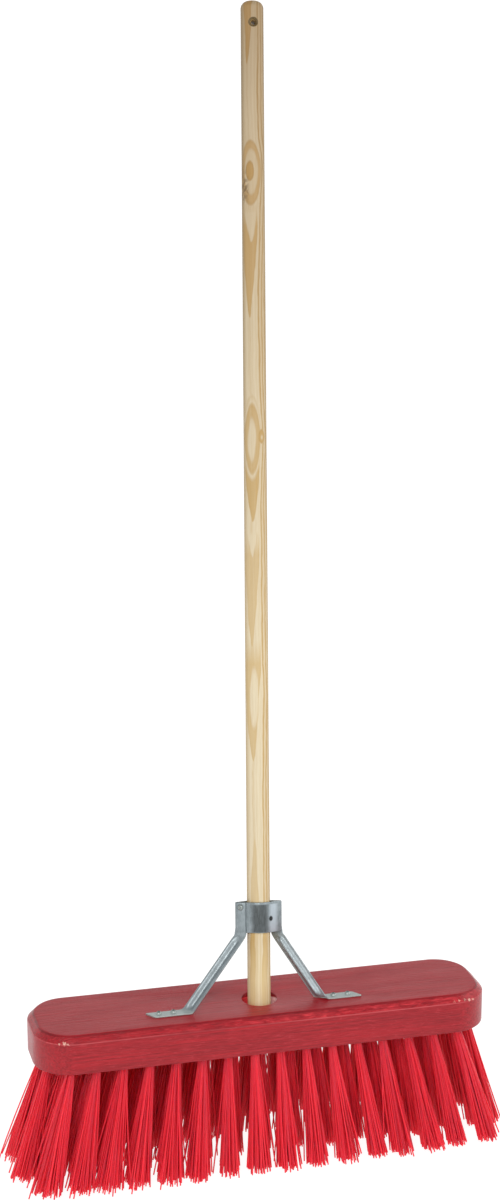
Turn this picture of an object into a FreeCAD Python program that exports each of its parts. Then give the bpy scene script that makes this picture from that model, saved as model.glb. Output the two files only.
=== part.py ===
import FreeCAD, Part
import math
import os
import Sketcher
from FreeCAD import Placement, Rotation, Vector

# Push broom: a painted wooden block on four rows of plastic bristle tufts, with a round wooden
# handle that leans back out of an oversize socket and is held by a two-piece pressed steel bracket.
# Frame: origin on the floor under the centre of the block, +X along the block to the right,
# +Y backwards (the way the handle leans), +Z up.  The bristle tips stand on z = 0.

doc = FreeCAD.newDocument("push_broom")

# ---------------------------------------------------------------- driving dimensions (mm, degrees)
SIZES = (
    ("block_length", 500, "overall length of the wooden block"),
    ("block_width", 112, "overall width of the wooden block"),
    ("block_height", 42, "thickness of the wooden block"),
    ("block_corner", 42, "plan radius of the block's four corners"),
    ("block_chamfer", 7.5, "bevel round the top edge of the block"),
    ("bristle_height", 131, "height of the block's underside above the bristle tips"),
    ("socket_diameter", 38, "oversize hole for the handle in the block's top"),
    ("socket_depth", 22, "depth of that hole along the handle"),
    ("socket_forward", 5.2, "how far the hole's mouth lies in front of the block's centre line"),
    ("socket_right", 0.1, "how far the hole's mouth lies to the right of the block's middle"),
    ("handle_diameter", 25, "round pine handle"),
    ("handle_length", 1105, "whole handle, with the part in the socket"),
    ("handle_back_lean", 15.5, "lean of the handle to the rear"),
    ("handle_round", 8, "rounding of the handle's top edge"),
    ("handle_side_lean", 3.59, "small sideways lean of the handle to the right"),
    ("hang_hole_diameter", 5.4, "hanging hole through the top of the handle"),
    ("hang_mouth_diameter", 10.4, "countersunk mouth of the hanging hole"),
    ("hang_hole_below_top", 25, "distance of the hanging hole below the handle's top"),
    ("hang_hole_turn", 6, "turn of the hanging hole about the handle, away from straight front to back"),
    ("sheet", 1.5, "thickness of the bracket's steel"),
    ("collar_clearance", 0.1, "gap between handle and collar"),
    ("collar_bottom", 71.5, "foot of the collar, measured along the handle from the block's top"),
    ("collar_height", 33, "height of the collar"),
    ("sheet_slope", 32.4, "slope of the sheets that run out from the shell, seen along the handle"),
    ("layer_play", 0.1, "gap between the folded flap and the lug it holds"),
    ("fold_radius", 0.4, "inside radius of the fold between sheet and flap"),
    ("flap_length", 10.3, "flap, from its fold to its free edge"),
    ("lug_length", 19, "lug, from where it leaves the shell"),
    ("leg_start", 4.3, "middle of the leg at the collar, from the fold along the flap"),
    ("leg_width", 13, "width of the pressed channel of a leg"),
    ("leg_turn", 41, "turn of a leg's plane, seen from above, away from the block's length"),
    ("leg_overlap", 4, "how far a leg runs into the flap at its top"),
    ("leg_depth", 3.6, "depth of that channel"),
    ("foot_bend", 73.8, "bend between leg and foot, from the middle of the bracket"),
    ("foot_length", 41, "length of a foot from its bend"),
    ("foot_width", 12.5, "width of a foot"),
    ("foot_slant", 9, "how much longer one side of a foot is than the other"),
    ("foot_round", 2.5, "corner radius of a foot"),
    ("foot_forward", 22.5, "how far the feet lie in front of the block's centre line"),
    ("foot_shift", 9.4, "how far the pair of feet lies to the left of the block's middle"),
    ("screw_first", 15, "first foot screw, from the bend"),
    ("screw_pitch", 16, "distance between the two screws of a foot"),
    ("screw_across", 2.3, "how far the screws lie behind the middle line of a foot"),
    ("screw_diameter", 3.5, "shank of a foot screw"),
    ("screw_length", 20, "length of a foot screw under its head"),
    ("screw_head_ball", 3.4, "radius of the ball that the domed head is cut from"),
    ("screw_head_height", 2.6, "height of the head above the foot"),
    ("screw_hole_play", 0.3, "play of a screw in its hole in the foot, all round"),
    ("screw_recess_turn", 20, "turn of the cross recess away from the block's length"),
    ("screw_recess_width", 0.9, "width of each arm of the cross recess"),
    ("screw_recess_span", 3.6, "span of the cross recess"),
    ("screw_recess_depth", 1.3, "depth of the cross recess below the top of the head"),
    ("rivet_head_height", 2.2, "height of a rivet's factory head"),
    ("rivet_diameter", 4.5, "shank of the flap rivets"),
    ("rivet_head_ball", 4.9, "radius of the ball that a rivet's factory head is cut from"),
    ("rivet_tail_diameter", 6, "upset tail of a rivet"),
    ("rivet_tail_height", 1.2, "height of that tail"),
    ("rivet_from_fold", 4.6, "rivets, from the fold along the flap"),
    ("rivet_up", 99, "rivets, along the handle from the block's top"),
    ("nail_diameter", 2.6, "shank of the collar nails"),
    ("nail_length", 11, "how far a collar nail reaches inside the collar's outer face"),
    ("nail_head_diameter", 4.2, "head of a collar nail"),
    ("nail_head_height", 0.6, "height of that head above the collar"),
    ("nail_from_shell", 4.56, "collar nails, from where the sheet leaves the shell"),
    ("nail_up", 86.5, "collar nails, along the handle from the block's top"),
    ("tuft_hole_diameter", 9, "drilled hole of a tuft"),
    ("tuft_hole_depth", 13, "depth of that hole"),
    ("tuft_play", 0.3, "free space between a tuft and its anchor wire"),
    ("tuft_root_diameter", 8.8, "tuft where it leaves the block"),
    ("tuft_tip_diameter", 20, "tuft at its cut end"),
    ("tuft_free_length", 133.1, "tuft outside the block, along its own axis"),
    ("tuft_half_span", 213.75, "last regular tuft of each row, from the block's middle"),
    ("end_tuft_from_middle", 232, "extra tuft in each rounded end of the inner rows"),
    ("outer_row", 42, "front and rear rows, from the block's centre line"),
    ("inner_row", 14, "two middle rows, from the block's centre line"),
    ("fan_along", 1.145, "tip position over root position along the block"),
    ("fan_along_end", 1.13, "the same for the extra end tufts"),
    ("fan_across", 1.571, "tip position over root position across the block"),
    ("anchor_length", 8.2, "wire anchor at the bottom of each tuft hole"),
    ("anchor_width", 0.8, "thickness of the anchor wire"),
    ("anchor_height", 1.2, "height of the anchor wire"),
)
sheet = doc.addObject("Spreadsheet::Sheet", "Sizes")
for line, (alias, value, note) in enumerate(SIZES, start=1):
    sheet.set("A%d" % line, alias)
    sheet.set("B%d" % line, str(value))
    sheet.set("C%d" % line, note)
    sheet.setAlias("B%d" % line, alias)
doc.recompute()


def size(alias):
    """The number in the sheet under this alias."""
    return float(sheet.get(alias))


def bind(obj, **formulas):
    """Bind properties of an object to formulas over the sheet's aliases, written with 'S.' for 'Sizes.'."""
    for prop, formula in formulas.items():
        obj.setExpression(prop, formula.replace("S.", "Sizes."))
    return obj


# ---------------------------------------------------------------- places that follow from the sizes
BLOCK_TOP = size("bristle_height") + size("block_height")
SOCKET_MOUTH = Vector(size("socket_right"), -size("socket_forward"), BLOCK_TOP)
HANDLE_AXIS = Vector(
    math.tan(math.radians(size("handle_side_lean"))),
    math.tan(math.radians(size("handle_back_lean"))),
    1,
).normalize()
# Handle frame: origin in the socket's mouth, local Z up the handle, local X close to the block's X.
HANDLE_FRAME = Placement(SOCKET_MOUTH, Rotation(Vector(0, 0, 1), HANDLE_AXIS))

subparts = []


def keep(obj, label):
    """Name a finished sub-part; its label is also its file's name."""
    obj.Label = label
    subparts.append(obj)
    return obj


def cut(name, base, tool):
    """A parametric cut of one object by another."""
    result = doc.addObject("Part::Cut", name)
    result.Base = base
    result.Tool = tool
    return result


def drill(name, diameter, height, place):
    """A cylinder bound to the sheet, used as a drill or a shank."""
    tool = doc.addObject("Part::Cylinder", name)
    bind(tool, Radius=diameter + " / 2", Height=height)
    tool.Placement = place
    return tool


# ---------------------------------------------------------------- the feet and their screws
# side = +1 is the right leg with the front half shell, side = -1 the left leg with the rear one.
def foot_point(side, out, across=0.0, up=0.0):
    """A point on a foot: out from its bend along the block, across to the rear, up from the block."""
    along = -size("foot_shift") + side * (size("foot_bend") + out)
    return Vector(along, -size("foot_forward") + across, BLOCK_TOP + up)


SCREW_NAMES = {+1: "right", -1: "left"}
SCREW_STATIONS = {
    "inner": size("screw_first"),
    "outer": size("screw_first") + size("screw_pitch"),
}

# ---------------------------------------------------------------- wooden block
blank = doc.addObject("PartDesign::Body", "BlockBlank")
plane = next(f for f in blank.Origin.OriginFeatures if f.Role == "XY_Plane")
outline = blank.newObject("Sketcher::SketchObject", "BlockOutline")
outline.AttachmentSupport = [(plane, "")]
outline.MapMode = "FlatFace"
half_l = size("block_length") / 2
half_w = size("block_width") / 2
corners = [Vector(-half_l, -half_w, 0), Vector(half_l, -half_w, 0),
           Vector(half_l, half_w, 0), Vector(-half_l, half_w, 0)]
for i in range(4):
    outline.addGeometry(Part.LineSegment(corners[i], corners[(i + 1) % 4]), False)
for i in range(4):
    outline.addConstraint(Sketcher.Constraint("Coincident", i, 2, (i + 1) % 4, 1))
for i in (0, 2):
    outline.addConstraint(Sketcher.Constraint("Horizontal", i))
    outline.addConstraint(Sketcher.Constraint("Vertical", i + 1))
outline.addConstraint(Sketcher.Constraint("Symmetric", 0, 1, 2, 1, -1, 1))
length_rule = outline.addConstraint(Sketcher.Constraint("DistanceX", 0, 1, 0, 2, 2 * half_l))
width_rule = outline.addConstraint(Sketcher.Constraint("DistanceY", 1, 1, 1, 2, 2 * half_w))
outline.setExpression("Constraints[%d]" % length_rule, "Sizes.block_length")
outline.setExpression("Constraints[%d]" % width_rule, "Sizes.block_width")
slab = blank.newObject("PartDesign::Pad", "BlockSlab")
slab.Profile = outline
bind(slab, Length="S.block_height")
doc.recompute()
rounded = blank.newObject("PartDesign::Fillet", "BlockCorners")
rounded.Base = (slab, ["Edge%d" % (i + 1) for i, e in enumerate(slab.Shape.Edges)
                       if abs(e.tangentAt(e.FirstParameter).z) > 0.99])
bind(rounded, Radius="S.block_corner")
doc.recompute()
bevelled = blank.newObject("PartDesign::Chamfer", "BlockBevel")
bevelled.Base = (rounded, ["Face%d" % (i + 1) for i, f in enumerate(rounded.Shape.Faces)
                           if f.CenterOfMass.z > size("block_height") - 0.001])
bind(bevelled, Size="S.block_chamfer")
blank.Tip = bevelled
blank.Placement = Placement(Vector(0, 0, size("bristle_height")), Rotation())

# The socket's drill stands on the socket's bottom and runs out through the mouth.
socket = drill("SocketDrill", "S.socket_diameter", "S.socket_depth * 2",
               HANDLE_FRAME * Placement(Vector(0, 0, -size("socket_depth")), Rotation()))

pilot_holes = []
for side in (1, -1):
    for station, out in SCREW_STATIONS.items():
        foot_of_hole = foot_point(side, out, size("screw_across"), size("sheet") - size("screw_length"))
        pilot_holes.append(drill("Pilot_%s_%s" % (SCREW_NAMES[side], station), "S.screw_diameter",
                                 "S.screw_length", Placement(foot_of_hole, Rotation())))


# ---------------------------------------------------------------- tufts, their holes and anchors
def row_places(count):
    """Evenly spaced places of one row along the block."""
    half = size("tuft_half_span")
    return [-half + 2 * half * i / (count - 1) for i in range(count)]


def make_row(across, count, end_tufts):
    """Roots and fan factors of one row, from left to right."""
    row = [(x, across, size("fan_along")) for x in row_places(count)]
    if end_tufts:
        end = size("end_tuft_from_middle")
        row.insert(0, (-end, across, size("fan_along_end")))
        row.append((end, across, size("fan_along_end")))
    return row


ROWS = {
    "front": make_row(-size("outer_row"), 16, False),
    "front_middle": make_row(-size("inner_row"), 15, True),
    "rear_middle": make_row(size("inner_row"), 15, True),
    "rear": make_row(size("outer_row"), 15, False),
}


def tuft_axis(x, y, fan):
    """Root on the block's underside and unit direction down to the tip of one tuft."""
    root = Vector(x, y, size("bristle_height"))
    tip = Vector(x * fan, y * size("fan_across"), 0)
    return root, (tip - root).normalize()


def tuft_solid(x, y, fan):
    """A bundle that fills its hole, flares to its tip and is cut off level."""
    root, down = tuft_axis(x, y, fan)
    depth = size("tuft_hole_depth") - size("anchor_height") - size("tuft_play")
    r_root = size("tuft_root_diameter") / 2
    r_tip = size("tuft_tip_diameter") / 2
    free = size("tuft_free_length")
    spare = size("tuft_root_diameter")
    r_end = r_root + (r_tip - r_root) * (free + spare) / free
    bundle = Part.makeCone(r_root, r_end, free + spare, root, down)
    bundle = bundle.fuse(Part.makeCylinder(r_root, depth, root, -down)).removeSplitter()
    level = max(0.0, size("bristle_height") + free * down.z)
    reach = size("bristle_height")
    room = Part.makeBox(2 * reach, 2 * reach, 2 * reach, Vector(root.x - reach, root.y - reach, level))
    return bundle.common(room)


def tuft_drill(x, y, fan):
    root, down = tuft_axis(x, y, fan)
    radius = size("tuft_hole_diameter") / 2
    return Part.makeCylinder(radius, size("tuft_hole_depth") + radius, root + down * radius, -down)


def anchor_solid(x, y, fan):
    """A short piece of flat wire lying across the bottom of a tuft's hole."""
    root, down = tuft_axis(x, y, fan)
    wire = Part.makeBox(size("anchor_length"), size("anchor_width"), size("anchor_height"),
                        Vector(-size("anchor_length") / 2, -size("anchor_width") / 2, 0))
    bottom = root - down * (size("tuft_hole_depth") - size("tuft_play") / 2)
    wire.Placement = Placement(bottom, Rotation(Vector(0, 0, 1), down))
    return wire


def group(name, solids):
    """Separate solids of one kind kept together as one sub-part."""
    feature = doc.addObject("Part::Feature", name)
    feature.Shape = Part.makeCompound(solids)
    feature.Placement = Placement()
    return feature


tuft_drills = group("TuftDrills", [tuft_drill(*root) for row in ROWS.values() for root in row])
drills = doc.addObject("Part::Compound", "BlockDrills")
drills.Links = [socket, tuft_drills] + pilot_holes
keep(cut("Block", blank, drills), "block")
for row_name, row in ROWS.items():
    keep(group("Tufts_" + row_name, [tuft_solid(*root) for root in row]), "tufts_" + row_name)
    keep(group("Anchors_" + row_name, [anchor_solid(*root) for root in row]), "anchor_wires_" + row_name)

# ---------------------------------------------------------------- handle
stick = doc.addObject("PartDesign::Body", "HandleStick")
upright = next(f for f in stick.Origin.OriginFeatures if f.Role == "XZ_Plane")
profile = stick.newObject("Sketcher::SketchObject", "HandleProfile")
profile.AttachmentSupport = [(upright, "")]
profile.MapMode = "FlatFace"
radius = size("handle_diameter") / 2
length = size("handle_length")
rounding = size("handle_round")
flat = radius - rounding
profile.addGeometry(Part.LineSegment(Vector(0, 0, 0), Vector(radius, 0, 0)), False)
profile.addGeometry(Part.LineSegment(Vector(radius, 0, 0), Vector(radius, length - rounding, 0)), False)
shoulder = Part.Circle(Vector(flat, length - rounding, 0), Vector(0, 0, 1), rounding)
profile.addGeometry(Part.ArcOfCircle(shoulder, 0, math.pi / 2), False)
profile.addGeometry(Part.LineSegment(Vector(flat, length, 0), Vector(0, length, 0)), False)
profile.addGeometry(Part.LineSegment(Vector(0, length, 0), Vector(0, 0, 0)), False)
for first, second in ((0, 1), (1, 2), (2, 3), (3, 4), (4, 0)):
    profile.addConstraint(Sketcher.Constraint("Coincident", first, 2, second, 1))
profile.addConstraint(Sketcher.Constraint("Coincident", 0, 1, -1, 1))
for level in (0, 3):
    profile.addConstraint(Sketcher.Constraint("Horizontal", level))
for plumb in (1, 4):
    profile.addConstraint(Sketcher.Constraint("Vertical", plumb))
profile.addConstraint(Sketcher.Constraint("Horizontal", 2, 3, 2, 1))
profile.addConstraint(Sketcher.Constraint("Vertical", 2, 3, 2, 2))
radius_rule = profile.addConstraint(Sketcher.Constraint("DistanceX", 0, 1, 0, 2, radius))
length_rule = profile.addConstraint(Sketcher.Constraint("DistanceY", 0, 1, 3, 2, length))
round_rule = profile.addConstraint(Sketcher.Constraint("Radius", 2, rounding))
profile.setExpression("Constraints[%d]" % radius_rule, "Sizes.handle_diameter / 2")
profile.setExpression("Constraints[%d]" % length_rule, "Sizes.handle_length")
profile.setExpression("Constraints[%d]" % round_rule, "Sizes.handle_round")
turned = stick.newObject("PartDesign::Revolution", "HandleTurned")
turned.Profile = profile
turned.ReferenceAxis = (profile, ["V_Axis"])
turned.Angle = 360
stick.Tip = turned
# The stick is turned about its own axis so that its local Y is the direction of the hanging hole.
HANDLE_PLACE = HANDLE_FRAME * Placement(Vector(0, 0, -size("socket_depth")),
                                        Rotation(Vector(0, 0, 1), -size("hang_hole_turn")))
stick.Placement = HANDLE_PLACE
hole_middle = Vector(0, size("handle_diameter"), size("handle_length") - size("hang_hole_below_top"))
hang_drill = drill("HangDrill", "S.hang_hole_diameter", "S.handle_diameter * 2",
                   HANDLE_PLACE * Placement(hole_middle, Rotation(Vector(1, 0, 0), 90)))
# Countersinks: cones of 90 degrees that reach the mouth's diameter on the handle's surface.
countersinks = []
for name, facing in (("Front", 90), ("Rear", -90)):
    sink = doc.addObject("Part::Cone", "Countersink" + name)
    bind(sink, Radius1="0 mm", Radius2="S.hang_mouth_diameter", Height="S.hang_mouth_diameter")
    middle = Vector(0, 0, size("handle_length") - size("hang_hole_below_top"))
    tip = Vector(0, 0, size("handle_diameter") / 2 - size("hang_mouth_diameter") / 2)
    sink.Placement = (HANDLE_PLACE * Placement(middle, Rotation(Vector(1, 0, 0), facing))
                      * Placement(tip, Rotation()))
    countersinks.append(sink)


# ---------------------------------------------------------------- the collar's sheets, in the handle frame
# The front half's sheets leave the shell along its tangents.  To the right the sheet is folded back
# behind the handle and becomes the flap, which carries the leg and holds the rear half's lug; to the
# left it ends as the lug that lies under the rear half's flap.  The rear half is the same, half a turn on.
SLOPE = math.radians(size("sheet_slope"))
SHELL_INSIDE = size("handle_diameter") / 2 + size("collar_clearance")
SHELL_OUTSIDE = SHELL_INSIDE + size("sheet")
FLAP_INSIDE = SHELL_OUTSIDE + size("layer_play")
FLAP_OUTSIDE = FLAP_INSIDE + size("sheet")
SHEET_NORMAL = Vector(math.sin(SLOPE), -math.cos(SLOPE), 0)
SHEET_WAY = Vector(math.cos(SLOPE), math.sin(SLOPE), 0)
FLAP_NORMAL = Vector(math.sin(SLOPE), math.cos(SLOPE), 0)
FLAP_WAY = Vector(-math.cos(SLOPE), math.sin(SLOPE), 0)
LUG_NORMAL = Vector(-math.sin(SLOPE), -math.cos(SLOPE), 0)
LUG_WAY = FLAP_WAY
FOLD_OUTSIDE = size("fold_radius") + size("sheet")
# The fold's centre lies inside both outer faces by the fold's outside radius.
to_sheet = SHELL_OUTSIDE - FOLD_OUTSIDE
to_flap = FLAP_OUTSIDE - FOLD_OUTSIDE
FOLD_CENTRE = Vector((to_flap + to_sheet) / (2 * math.sin(SLOPE)),
                     (to_flap - to_sheet) / (2 * math.cos(SLOPE)), 0)
FLAT_CROWN = 1.05


def half_turn(side):
    """Frame of a collar half: the handle frame, for the rear half turned half way round the handle."""
    return HANDLE_FRAME * Placement(Vector(0, 0, 0), Rotation(Vector(0, 0, 1), 0 if side > 0 else 180))


def nail_frame(side):
    """Frame of a collar nail: origin on the sheet's outer face, local Z straight out of it."""
    seat = SHEET_NORMAL * SHELL_OUTSIDE + SHEET_WAY * size("nail_from_shell") + Vector(0, 0, size("nail_up"))
    return half_turn(side) * Placement(seat, Rotation(Vector(0, 0, 1), SHEET_NORMAL))


nail_drills = {}
for side, place_name in ((1, "front"), (-1, "rear")):
    inward = Placement(Vector(0, 0, -size("nail_length")), Rotation())
    nail_drills[side] = drill("NailDrill_" + place_name, "S.nail_diameter",
                              "S.nail_length + S.nail_head_height / 2", nail_frame(side) * inward)
handle_drills = doc.addObject("Part::Compound", "HandleDrills")
handle_drills.Links = [hang_drill, nail_drills[1], nail_drills[-1]] + countersinks
keep(cut("Handle", stick, handle_drills), "handle")


# ---------------------------------------------------------------- bracket halves
def shell_section():
    """Section of the front collar half across the handle."""
    def arc(start, middle, end):
        return Part.Arc(start, middle, end).toShape()

    def line(start, end):
        return Part.LineSegment(start, end).toShape()

    inner_fold = size("fold_radius")
    right = Vector(1, 0, 0)
    front = Vector(0, -1, 0)
    flap_end = FOLD_CENTRE + FLAP_WAY * size("flap_length")
    lug_end = LUG_WAY * size("lug_length")
    edges = [
        line(SHEET_NORMAL * SHELL_OUTSIDE, FOLD_CENTRE + SHEET_NORMAL * FOLD_OUTSIDE),
        arc(FOLD_CENTRE + SHEET_NORMAL * FOLD_OUTSIDE, FOLD_CENTRE + right * FOLD_OUTSIDE,
            FOLD_CENTRE + FLAP_NORMAL * FOLD_OUTSIDE),
        line(FOLD_CENTRE + FLAP_NORMAL * FOLD_OUTSIDE, flap_end + FLAP_NORMAL * FOLD_OUTSIDE),
        line(flap_end + FLAP_NORMAL * FOLD_OUTSIDE, flap_end + FLAP_NORMAL * inner_fold),
        line(flap_end + FLAP_NORMAL * inner_fold, FOLD_CENTRE + FLAP_NORMAL * inner_fold),
        arc(FOLD_CENTRE + FLAP_NORMAL * inner_fold, FOLD_CENTRE + right * inner_fold,
            FOLD_CENTRE + SHEET_NORMAL * inner_fold),
        line(FOLD_CENTRE + SHEET_NORMAL * inner_fold, SHEET_NORMAL * SHELL_INSIDE),
        arc(SHEET_NORMAL * SHELL_INSIDE, front * SHELL_INSIDE, LUG_NORMAL * SHELL_INSIDE),
        line(LUG_NORMAL * SHELL_INSIDE, LUG_NORMAL * SHELL_INSIDE + lug_end),
        line(LUG_NORMAL * SHELL_INSIDE + lug_end, LUG_NORMAL * SHELL_OUTSIDE + lug_end),
        line(LUG_NORMAL * SHELL_OUTSIDE + lug_end, LUG_NORMAL * SHELL_OUTSIDE),
        arc(LUG_NORMAL * SHELL_OUTSIDE, front * SHELL_OUTSIDE, SHEET_NORMAL * SHELL_OUTSIDE),
    ]
    return Part.Face(Part.Wire(Part.__sortEdges__(edges)))


def channel_wire(centre, across, crown, depth):
    """Section of a pressed leg: a shallow round channel, lips on the centre's plane."""
    half = size("leg_width") / 2
    thick = size("sheet")
    outside = Part.Arc(centre - across * half, centre + crown * depth, centre + across * half)
    inside = Part.Arc(centre + across * (half - thick), centre + crown * (depth - thick),
                      centre - across * (half - thick))
    lips = [Part.LineSegment(centre + across * half, centre + across * (half - thick)),
            Part.LineSegment(centre - across * (half - thick), centre - across * half)]
    return Part.Wire(Part.__sortEdges__([piece.toShape() for piece in [outside, inside] + lips]))


def foot_plate(side):
    """Flat foot with a slanted end, lying on the block's top."""
    half = size("foot_width") / 2
    slant = size("foot_slant") / 2
    length = size("foot_length")
    root = -2 * size("sheet")
    # Seen from above, the longer side is the front one on the right foot and the rear one on the left.
    points = [foot_point(side, root, -side * half), foot_point(side, length + slant, -side * half),
              foot_point(side, length - slant, side * half), foot_point(side, root, side * half)]
    plate = Part.Face(Part.makePolygon(points + points[:1])).extrude(Vector(0, 0, size("sheet")))
    outer_edges = [e for e in plate.Edges if abs(e.tangentAt(e.FirstParameter).z) > 0.99
                   and abs(e.CenterOfMass.x - points[0].x) > length / 2]
    return plate.makeFillet(size("foot_round"), outer_edges)


def rivet_seat():
    """Where the rivet's axis meets the flap's outer face, in the frame of the half that owns the flap."""
    seat = FOLD_CENTRE + FLAP_NORMAL * FOLD_OUTSIDE + FLAP_WAY * size("rivet_from_fold")
    return seat + Vector(0, 0, size("rivet_up"))


def bracket_half(side):
    """Collar half, leg and foot of one side, as one pressed piece, in the frame of that half."""
    to_half = half_turn(side).inverse()
    thick = size("sheet")
    shell = shell_section()
    shell.translate(Vector(0, 0, size("collar_bottom")))
    piece = shell.extrude(Vector(0, 0, size("collar_height")))
    # The leg leaves the flap flat, turns out of its plane and runs straight to the bend of the foot.
    inward = -FLAP_NORMAL
    outward = -FLAP_WAY
    middle = FOLD_CENTRE + FLAP_NORMAL * FOLD_OUTSIDE + FLAP_WAY * size("leg_start")
    upper = middle + Vector(0, 0, size("collar_bottom") + size("leg_overlap"))
    lower = middle + Vector(0, 0, size("collar_bottom") - thick)
    end = to_half.multVec(foot_point(side, 0))
    along = (end - lower).normalize()
    turn = math.radians(size("leg_turn"))
    level = to_half.Rotation.multVec(Vector(side * math.cos(turn), -side * math.sin(turn), 0))
    across = (level - along * level.dot(along)).normalize()
    crown = along.cross(across)
    if crown.dot(inward) < 0:
        crown = -crown
    # A flat section still needs a little crown for its arcs.
    shallow = thick * FLAT_CROWN
    sections = [
        channel_wire(upper, outward, inward, shallow),
        channel_wire(lower, outward, inward, shallow),
        channel_wire(lower + along * size("leg_width"), across, crown, size("leg_depth")),
        channel_wire(end + along * size("leg_overlap"), across, crown, size("leg_depth")),
    ]
    leg = Part.makeLoft(sections, True, True)
    plate = foot_plate(side)
    plate.transformShape(to_half.toMatrix(), True)
    piece = piece.fuse([leg, plate])
    # Nothing of the leg's lower end reaches into the block.
    wood = Part.makeBox(size("block_length"), size("block_width"), size("block_height"),
                        Vector(-half_l, -half_w, size("bristle_height")))
    wood.transformShape(to_half.toMatrix(), True)
    holes = [wood]
    for out in SCREW_STATIONS.values():
        hole = Part.makeCylinder(size("screw_diameter") / 2 + size("screw_hole_play"), 3 * thick,
                                 foot_point(side, out, size("screw_across"), -thick))
        hole.transformShape(to_half.toMatrix(), True)
        holes.append(hole)
    # One rivet goes through this half's flap, the other, half a turn on, through its lug.
    seat = rivet_seat() + FLAP_NORMAL * thick
    opposite = Vector(-seat.x, -seat.y, seat.z)
    holes.append(Part.makeCylinder(size("rivet_diameter") / 2, 4 * thick, seat, -FLAP_NORMAL))
    holes.append(Part.makeCylinder(size("rivet_diameter") / 2, 5 * thick, opposite, FLAP_NORMAL))
    nail = nail_drills[side].Shape.copy()
    nail.transformShape(to_half.toMatrix(), True)
    holes.append(nail)
    return piece.cut(holes).removeSplitter()


doc.recompute()
for side, half_name in ((1, "front"), (-1, "rear")):
    half = doc.addObject("Part::Feature", "BracketHalf_" + half_name)
    half.Shape = bracket_half(side)
    half.Placement = half_turn(side)
    keep(half, "bracket_%s_half" % half_name)


# ---------------------------------------------------------------- fasteners
def cap(name, ball, height, place):
    """A domed head: the part of a ball that stands above the frame's XY plane."""
    head = doc.addObject("Part::Sphere", name)
    bind(head, Radius="S." + ball, Angle1="asin(1 - S.%s / S.%s)" % (height, ball))
    head.Placement = place * Placement(Vector(0, 0, size(height) - size(ball)), Rotation())
    return head


def fuse(name, *shapes):
    result = doc.addObject("Part::MultiFuse", name)
    result.Shapes = list(shapes)
    result.Refine = True
    return result


def foot_screw(side, station, out):
    """Round-head wood screw with a cross recess, standing in its pilot hole."""
    label = "foot_screw_%s_%s" % (SCREW_NAMES[side], station)
    seat = foot_point(side, out, size("screw_across"), size("sheet"))
    head = cap("Head_" + label, "screw_head_ball", "screw_head_height", Placement(seat, Rotation()))
    shank = drill("Shank_" + label, "S.screw_diameter", "S.screw_length",
                  Placement(seat - Vector(0, 0, size("screw_length")), Rotation()))
    arms = []
    floor = seat + Vector(0, 0, size("screw_head_height") - size("screw_recess_depth"))
    for arm_name, square in (("A", 0), ("B", 90)):
        arm = doc.addObject("Part::Box", "Recess%s_%s" % (arm_name, label))
        bind(arm, Length="S.screw_recess_span", Width="S.screw_recess_width",
             Height="S.screw_recess_depth * 2")
        centred = Vector(-size("screw_recess_span") / 2, -size("screw_recess_width") / 2, 0)
        turned_arm = Rotation(Vector(0, 0, 1), size("screw_recess_turn") + square)
        arm.Placement = Placement(floor, turned_arm) * Placement(centred, Rotation())
        arms.append(arm)
    solid = fuse("Solid_" + label, head, shank)
    return keep(cut("Cut_" + label, solid, fuse("Recess_" + label, *arms)), label)


for side in (1, -1):
    for station, out in SCREW_STATIONS.items():
        foot_screw(side, station, out)


def flap_rivet(side):
    """Rivet through a flap and the lug under it, its factory head on the flap."""
    label = "flap_rivet_" + SCREW_NAMES[side]
    place = half_turn(side) * Placement(rivet_seat(), Rotation(Vector(0, 0, 1), FLAP_NORMAL))
    head = cap("Head_" + label, "rivet_head_ball", "rivet_head_height", place)
    grip = 2 * size("sheet") + size("layer_play")
    shank = drill("Shank_" + label, "S.rivet_diameter", "2 * S.sheet + S.layer_play",
                  place * Placement(Vector(0, 0, -grip), Rotation()))
    tail = drill("Tail_" + label, "S.rivet_tail_diameter", "S.rivet_tail_height",
                 place * Placement(Vector(0, 0, -grip - size("rivet_tail_height")), Rotation()))
    return keep(fuse("Rivet_" + label, head, shank, tail), label)


def collar_nail(side, half_name):
    """Nail driven through a sheet into the handle."""
    label = "collar_nail_" + half_name
    place = nail_frame(side)
    shank = drill("Shank_" + label, "S.nail_diameter", "S.nail_length",
                  place * Placement(Vector(0, 0, -size("nail_length")), Rotation()))
    head = drill("Head_" + label, "S.nail_head_diameter", "S.nail_head_height", place)
    return keep(fuse("Nail_" + label, shank, head), label)


for side, half_name in ((1, "front"), (-1, "rear")):
    flap_rivet(side)
    collar_nail(side, half_name)

# ---------------------------------------------------------------- checks and export
doc.recompute()
for obj in doc.Objects:
    if "Invalid" in obj.State or "Error" in obj.State:
        raise RuntimeError("%s did not compute: %s" % (obj.Name, obj.State))
for obj in subparts:
    if obj.Shape.isNull() or not obj.Shape.isValid() or not obj.Shape.Solids:
        raise RuntimeError("%s has no valid solid" % obj.Label)
os.makedirs("parts", exist_ok=True)
for obj in subparts:
    obj.Shape.exportStep("parts/%s.step" % obj.Label)
    box = obj.Shape.BoundBox
    print("%-28s solids %2d  volume %9.0f  x %.1f..%.1f  y %.1f..%.1f  z %.1f..%.1f" % (
        obj.Label, len(obj.Shape.Solids), obj.Shape.Volume,
        box.XMin, box.XMax, box.YMin, box.YMax, box.ZMin, box.ZMax))
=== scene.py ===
import math
import random

import bmesh
import bpy
from mathutils import Matrix, Vector
from mathutils.geometry import delaunay_2d_cdt


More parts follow.
